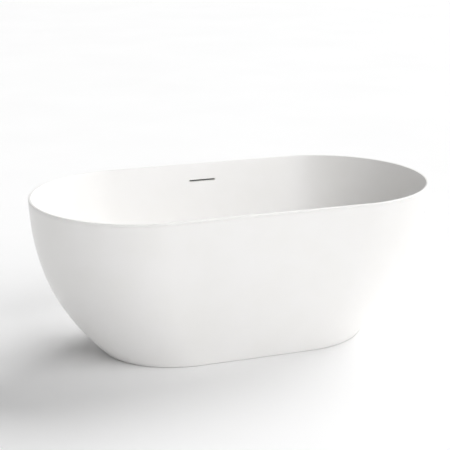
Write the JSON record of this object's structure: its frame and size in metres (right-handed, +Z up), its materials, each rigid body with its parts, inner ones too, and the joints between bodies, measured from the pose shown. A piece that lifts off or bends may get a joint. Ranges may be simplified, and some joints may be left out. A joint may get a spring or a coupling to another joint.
{
  "type": "freestanding bathtub",
  "caption": "Freestanding double-ended bath with flared elliptical ends, thin flat rim, slotted overflow in one long wall, push-to-open centre waste and levelling feet.",
  "frame": {"origin": "middle of the footprint, on the floor under the feet", "axes": "+X along the bath, +Y towards the overflow wall, +Z up"},
  "size_m": [1.4998, 0.7984, 0.58],
  "materials": {
    "acrylic": "smooth vacuum-formed acrylic, satin gloss",
    "adhesive": "cured adhesive bead",
    "board": "raw particle board",
    "galvanised_steel": "galvanised",
    "zinc_fixings": "bright zinc plate",
    "foot_plastic": "moulded, fine texture",
    "trim_white": "white powder coat over steel",
    "grey_plastic": "moulded",
    "black_rubber": "matte",
    "hose_plastic": "semi-matte",
    "clip_steel": "bright",
    "chrome": "polished",
    "brass": "turned",
    "acetal": "moulded"
  },
  "bodies": {
    "bath": {"inner_shell": "acrylic", "outer_skirt": "acrylic", "rim_bond": "adhesive", "base_board": "board", "long_rails": "galvanised_steel", "cross_rails": "galvanised_steel", "rail_screws": "zinc_fixings", "skirt_brackets": "galvanised_steel", "bracket_screws": "zinc_fixings", "foot_lock_nuts": "zinc_fixings", "slot_trim": "trim_white", "overflow_box": "grey_plastic", "overflow_gasket": "black_rubber", "overflow_screws": "zinc_fixings", "overflow_hose": "hose_plastic", "hose_clip_upper": "clip_steel", "hose_clip_lower": "clip_steel", "waste_flange": "chrome", "upper_gasket": "black_rubber", "lower_gasket": "black_rubber", "waste_lock_nut": "brass", "waste_body": "grey_plastic", "outlet_nut": "grey_plastic", "outlet_tail": "hose_plastic", "cartridge_sleeve": "brass", "cartridge_spring": "clip_steel"},
    "waste_cap": {"waste_cap": "chrome", "cap_seal": "black_rubber", "cap_stem": "clip_steel"},
    "latch_cam": {"latch_cam": "acetal"},
    "foot_1": {"foot_1": "foot_plastic", "stud_1": "zinc_fixings"},
    "foot_nut_1": {"foot_nut_1": "zinc_fixings"},
    "foot_2": {"foot_2": "foot_plastic", "stud_2": "zinc_fixings"},
    "foot_nut_2": {"foot_nut_2": "zinc_fixings"},
    "foot_3": {"foot_3": "foot_plastic", "stud_3": "zinc_fixings"},
    "foot_nut_3": {"foot_nut_3": "zinc_fixings"},
    "foot_4": {"foot_4": "foot_plastic", "stud_4": "zinc_fixings"},
    "foot_nut_4": {"foot_nut_4": "zinc_fixings"},
    "foot_5": {"foot_5": "foot_plastic", "stud_5": "zinc_fixings"},
    "foot_nut_5": {"foot_nut_5": "zinc_fixings"},
    "foot_6": {"foot_6": "foot_plastic", "stud_6": "zinc_fixings"},
    "foot_nut_6": {"foot_nut_6": "zinc_fixings"}
  },
  "joints": [
    {"name": "cap_lift", "type": "slide", "parent": "bath", "child": "waste_cap", "axis": [0, 0, 1], "range_m": [0, 0.009], "deforming": ["cartridge_spring"]},
    {"name": "latch_turn", "type": "hinge", "parent": "bath", "child": "latch_cam", "pos_m": [0, 0, 0.085], "axis": [0, 0, 1], "range_deg": [0, 45]},
    {"name": "foot_1_extend", "type": "slide", "parent": "bath", "child": "foot_1", "axis": [0, 0, -1], "range_m": [0, 0.02]},
    {"name": "foot_nut_1_turn", "type": "hinge", "parent": "bath", "child": "foot_nut_1", "pos_m": [-0.31, -0.175, 0.0528], "axis": [0, 0, 1], "range_deg": [0, 4115]},
    {"name": "foot_2_extend", "type": "slide", "parent": "bath", "child": "foot_2", "axis": [0, 0, -1], "range_m": [0, 0.02]},
    {"name": "foot_nut_2_turn", "type": "hinge", "parent": "bath", "child": "foot_nut_2", "pos_m": [-0.31, 0.175, 0.0528], "axis": [0, 0, 1], "range_deg": [0, 4115]},
    {"name": "foot_3_extend", "type": "slide", "parent": "bath", "child": "foot_3", "axis": [0, 0, -1], "range_m": [0, 0.02]},
    {"name": "foot_nut_3_turn", "type": "hinge", "parent": "bath", "child": "foot_nut_3", "pos_m": [0.11, -0.175, 0.0528], "axis": [0, 0, 1], "range_deg": [0, 4115]},
    {"name": "foot_4_extend", "type": "slide", "parent": "bath", "child": "foot_4", "axis": [0, 0, -1], "range_m": [0, 0.02]},
    {"name": "foot_nut_4_turn", "type": "hinge", "parent": "bath", "child": "foot_nut_4", "pos_m": [0.11, 0.175, 0.0528], "axis": [0, 0, 1], "range_deg": [0, 4115]},
    {"name": "foot_5_extend", "type": "slide", "parent": "bath", "child": "foot_5", "axis": [0, 0, -1], "range_m": [0, 0.02]},
    {"name": "foot_nut_5_turn", "type": "hinge", "parent": "bath", "child": "foot_nut_5", "pos_m": [0.31, -0.175, 0.0528], "axis": [0, 0, 1], "range_deg": [0, 4115]},
    {"name": "foot_6_extend", "type": "slide", "parent": "bath", "child": "foot_6", "axis": [0, 0, -1], "range_m": [0, 0.02]},
    {"name": "foot_nut_6_turn", "type": "hinge", "parent": "bath", "child": "foot_nut_6", "pos_m": [0.31, 0.175, 0.0528], "axis": [0, 0, 1], "range_deg": [0, 4115]}
  ],
  "couplings": [
    {"joint": "latch_turn", "follows": "cap_lift", "rad_per_m": 87.266},
    {"joint": "foot_nut_1_turn", "follows": "foot_1_extend", "rad_per_m": 3590.4},
    {"joint": "foot_nut_2_turn", "follows": "foot_2_extend", "rad_per_m": 3590.4},
    {"joint": "foot_nut_3_turn", "follows": "foot_3_extend", "rad_per_m": 3590.4},
    {"joint": "foot_nut_4_turn", "follows": "foot_4_extend", "rad_per_m": 3590.4},
    {"joint": "foot_nut_5_turn", "follows": "foot_5_extend", "rad_per_m": 3590.4},
    {"joint": "foot_nut_6_turn", "follows": "foot_6_extend", "rad_per_m": 3590.4}
  ]
}
